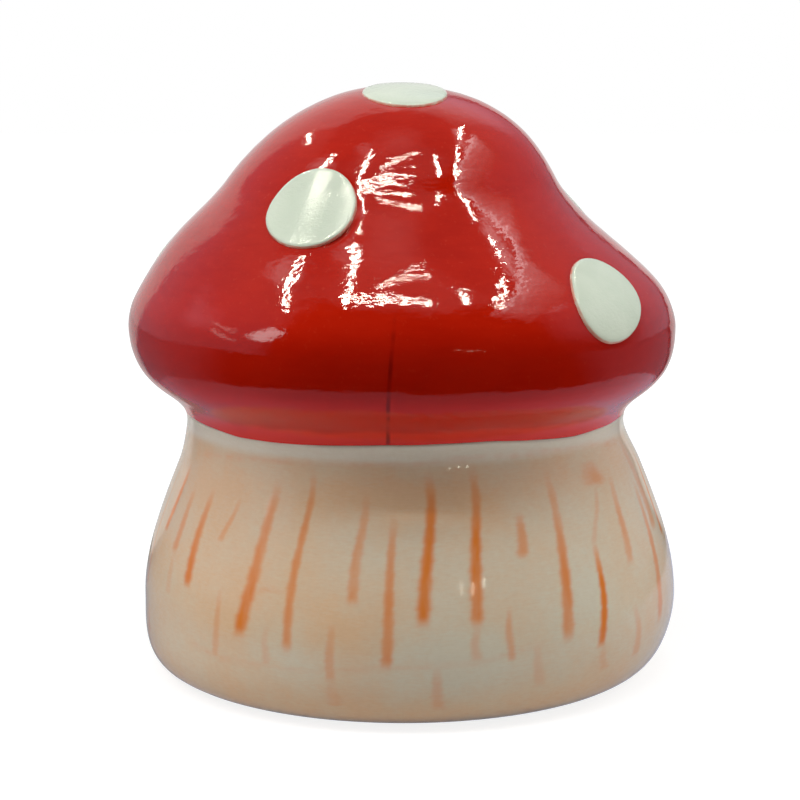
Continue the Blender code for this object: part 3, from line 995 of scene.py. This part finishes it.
# What else the glaze mirrors, as found in its reflections: the room, the lit part of the table, a cool tint
ROOM_RADIUS = 2.2
ROOM_MIDDLE_Z = 0.09
ROOM_FOOT = -2.33
AROUND = np.linspace(-180, 180, 241)
LIT_TABLE = 0.155
TABLE_Z = 0.0004
TABLE_SHARES = np.array([0.3, 0.6, 0.9, 0.97, 0.98, 0.99, 1, 1.01, 1.02, 1.03, 1.04, 1.1, 2, 5, 9])
COOL = (0.84, 0.95, 1.22)

# Patches of window light on the walls: azimuth, elevation, half turn, half height, tilt, softness, strength
ROOM_PATCHES = [
    (-84, 58, 12, 3.0, 0, 4.0, 1.5),
    (-76, 76, 16, 2.5, 0, 3.0, 0.9),
    (86, 49.5, 13, 4.0, -6, 3.0, 2.6),
    (114, 60, 12, 1.6, 0, 2.5, 2.6),
    (164, 42, 18, 12, 0, 8.0, 0.45),
    (-100, 25, 10, 6, 0, 6.0, 0.35),
]

# A window close by on the left that only the cap mirrors: its panes given likewise, as seen from its flank
NEAR_WINDOW = [
    (-61.5, 26.5, 8.5, 4.6, 62, 2.0, 4.8),
    (-84, 24, 8, 1.2, -16, 1.6, 1.8),
    (-80, 15.5, 8, 1.0, -22, 1.4, 2.0),
]
NEAR_WINDOW_FROM = (-0.034, -0.063, 0.102)
NEAR_WINDOW_AWAY = 0.26

# A panel overhead on the right: its brightness from left to right, and where it fades in and out lengthwise
PANEL_X = (0.374, 0.382, 0.392, 0.404, 0.43, 0.48, 0.62)
PANEL_GLOW = (0.33, 5.5, 4.5, 2.2, 1.5, 0.9, 0.34)
PANEL_FRONT = (-0.36, -0.20)
PANEL_BACK = (0.26, 0.17)


def towards(azimuth, elevation, distance, start=(0, 0, 0.08)):
    azimuth, elevation = math.radians(azimuth), math.radians(elevation)
    level = distance * math.cos(elevation)
    way = Vector((level * math.sin(azimuth), -level * math.cos(azimuth), distance * math.sin(elevation)))
    return Vector(start) + way


def make_lights():
    for number, (azimuth, elevation, length, width, strength) in enumerate(SOFT_LAMPS):
        place = towards(azimuth, elevation, 1.0)
        area_light("soft_%d" % number, place, (1, 0.01, 0.02), length, width, strength, diffuse=True)
    for name, values in STRIPS.items():
        strip(name, *values)
    pane = (PANE_LENGTH, PANE_WIDTH, PANE_STRENGTH, STRIP_COLOUR, BELLY)
    for number, (azimuth, elevation) in enumerate(PANES):
        place = towards(azimuth, elevation, PANES_AWAY, BELLY)
        area_light("pane_%d" % number, place, (0, 0, 1), *pane, glossy=True)


def patch(azimuth, elevation, at, middle, half_turn, half_height, tilt, soft, strength):
    """A soft-edged, tilted patch of light on the walls of the room."""
    tilt = math.radians(tilt)
    aside = np.mod(azimuth - at + 180, 360) - 180
    above = elevation - middle
    along = np.abs(aside * math.cos(tilt) + above * math.sin(tilt))
    across = np.abs(above * math.cos(tilt) - aside * math.sin(tilt))
    edge = smooth(half_turn + soft, half_turn - soft, along)
    edge = edge * smooth(half_height + soft, half_height - soft, across)
    return strength * edge


def past_backdrop(azimuth, elevation):
    """Whether a direction is past the white backdrop, and how near it is to the dark line at its edge."""
    right = azimuth > 0
    past = np.abs(azimuth) - np.where(right, 149 + 0.9 * elevation, 138)
    return smooth(-2, 2, past), right * np.exp(-(((past + 2.5) / 2.4) ** 2))


def room_glow(azimuth, elevation):
    """How bright the room is in each direction, in degrees, and how cool its light is."""
    round_to = np.abs(azimuth)
    side = smooth(-53, -66, azimuth) + smooth(60, 86, azimuth)
    behind, line = past_backdrop(azimuth, elevation)
    wall = 0.34 * side * (1 - 0.8 * line) + 0.42 * behind
    wall = wall * (1 - 0.85 * smooth(30, 8, elevation) * smooth(125, 90, azimuth) * (azimuth > 0))
    ceiling = 0.20 + 0.16 * smooth(75, 50, round_to) + 0.30 * smooth(76, 89, elevation)
    glow = wall + (ceiling - wall) * smooth(56.5, 62, elevation)
    for values in ROOM_PATCHES:
        glow = glow + patch(azimuth, elevation, *values)
    return glow, smooth(58, 25, elevation) * (1 - behind)


def table_glow(azimuth, share):
    """The table is lit near the object, and beyond that dark in front and grey at the sides and back."""
    round_to = np.abs(azimuth)
    near = 0.29 + 0.08 * smooth(25, 70, round_to) - 0.22 * smooth(125, 175, round_to)
    near = near + 0.16 * smooth(50, 120, azimuth) - 0.07 * smooth(-50, -100, azimuth)
    behind, line = past_backdrop(azimuth, -5)
    far = 0.18 * smooth(64, 92, round_to) * (1 - 0.8 * line) + 0.45 * behind
    glow = near + (far - near) * smooth(0.975, 1.04, share)
    return glow, 1 - behind


def glowing(name, rows, glow, cool):
    """A surface whose own light, given at each of its points, only the glaze mirrors."""
    count, columns = rows.shape[:2]
    faces = [
        (row * columns + i, row * columns + i + 1, (row + 1) * columns + i + 1, (row + 1) * columns + i)
        for row in range(count - 1)
        for i in range(columns - 1)
    ]
    material = bpy.data.materials.new(name + "_light")
    material.use_nodes = True
    tree = material.node_tree
    tree.nodes.remove(tree.nodes["Principled BSDF"])
    found = tree.nodes.new("ShaderNodeAttribute")
    found.attribute_name = "glow"
    light = tree.nodes.new("ShaderNodeEmission")
    tree.links.new(found.outputs["Color"], light.inputs["Color"])
    tree.links.new(light.outputs[0], tree.nodes["Material Output"].inputs["Surface"])
    made = stage_mesh(name, rows.reshape(-1, 3), faces, material)
    tint = 1 + cool[..., None] * (np.array(COOL) - 1)
    colours = np.concatenate([glow[..., None] * tint, np.ones(glow.shape + (1,))], axis=-1)
    attribute = made.data.attributes.new("glow", "FLOAT_COLOR", "POINT")
    attribute.data.foreach_set("color", np.ascontiguousarray(colours, np.float32).ravel())
    only_seen_by(made, glossy=True)


def mirror_room():
    """The walls and the ceiling, as one dome that comes down to the table."""
    upward = np.concatenate([np.linspace(ROOM_FOOT, 0, 3), np.arange(1, 90.5, 1.0)])
    elevation, azimuth = np.meshgrid(upward, AROUND, indexing="ij")
    turn, rise = np.radians(azimuth), np.radians(elevation)
    level = ROOM_RADIUS * np.cos(rise)
    height = ROOM_MIDDLE_Z + ROOM_RADIUS * np.sin(rise)
    rows = np.stack([level * np.sin(turn), -level * np.cos(turn), height], axis=-1)
    glowing("mirrored_room", rows, *room_glow(azimuth, elevation))


def mirror_table():
    share, azimuth = np.meshgrid(TABLE_SHARES, AROUND, indexing="ij")
    turn = np.radians(azimuth)
    sideways = 0.085 * smooth(45, 125, azimuth) + 0.045 * smooth(-45, -125, azimuth)
    reach = share * (LIT_TABLE + sideways * smooth(178, 150, np.abs(azimuth)))
    reach[-1] = ROOM_RADIUS
    rows = np.stack([reach * np.sin(turn), -reach * np.cos(turn), np.full(reach.shape, TABLE_Z)], axis=-1)
    glowing("mirrored_table", rows, *table_glow(azimuth, share))


def mirror_panel():
    x, y = np.meshgrid(np.array(PANEL_X), np.linspace(PANEL_FRONT[0], PANEL_BACK[0], 32), indexing="ij")
    fade = smooth(*PANEL_FRONT, y) * smooth(*PANEL_BACK, y)
    glow = PANEL_GLOW[0] + (np.interp(x, PANEL_X, PANEL_GLOW) - PANEL_GLOW[0]) * fade
    rows = np.stack([x, y, np.full(x.shape, STRIP_Z)], axis=-1)
    glowing("mirrored_panel", rows, glow, np.zeros(glow.shape))


def mirror_window():
    azimuth, elevation = np.meshgrid(np.arange(-98, -45, 1.0), np.arange(6, 40, 0.5), indexing="ij")
    turn, rise = np.radians(azimuth), np.radians(elevation)
    ways = np.stack([np.cos(rise) * np.sin(turn), -np.cos(rise) * np.cos(turn), np.sin(rise)], axis=-1)
    glow, cool = room_glow(azimuth, elevation)
    for values in NEAR_WINDOW:
        glow = glow + patch(azimuth, elevation, *values)
    rows = NEAR_WINDOW_FROM + NEAR_WINDOW_AWAY * ways
    glowing("mirrored_window", rows, glow, cool * smooth(1.0, 0.5, glow))


# Camera


CAMERA_LENS = 97.3
CAMERA_PLACE = (-0.00115, -0.59124, 0.17493)
CAMERA_AIM = Vector((-0.00115, 0, 0.0728))


def make_camera():
    camera = bpy.data.cameras.new("camera")
    camera.lens = CAMERA_LENS
    camera.sensor_width = 36
    camera.clip_end = 20
    seen_from = bpy.data.objects.new("camera", camera)
    seen_from.location = CAMERA_PLACE
    seen_from.rotation_euler = (CAMERA_AIM - seen_from.location).to_track_quat("-Z", "Y").to_euler()
    bpy.context.scene.collection.objects.link(seen_from)
    bpy.context.scene.camera = seen_from


def main():
    red, cream, white, clay = red_glaze(), cream_glaze(), white_glaze(), bare_clay()
    made = [
        (make_cap([red, clay]), "red_glaze", "cap_shell"),
        (make_stalk([cream, clay]), "cream_glaze", "stalk_shell"),
    ]
    for name, place in DISC_PLACES.items():
        made.append((make_disc(name, place, white), "white_glaze", name))
    for piece, slot, node in made:
        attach(piece, "root")
        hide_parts(node)
    make_floor()
    make_world()
    make_lights()
    mirror_room()
    mirror_table()
    mirror_panel()
    mirror_window()
    make_camera()
    scene = bpy.context.scene
    scene.view_settings.view_transform = "Standard"


main()
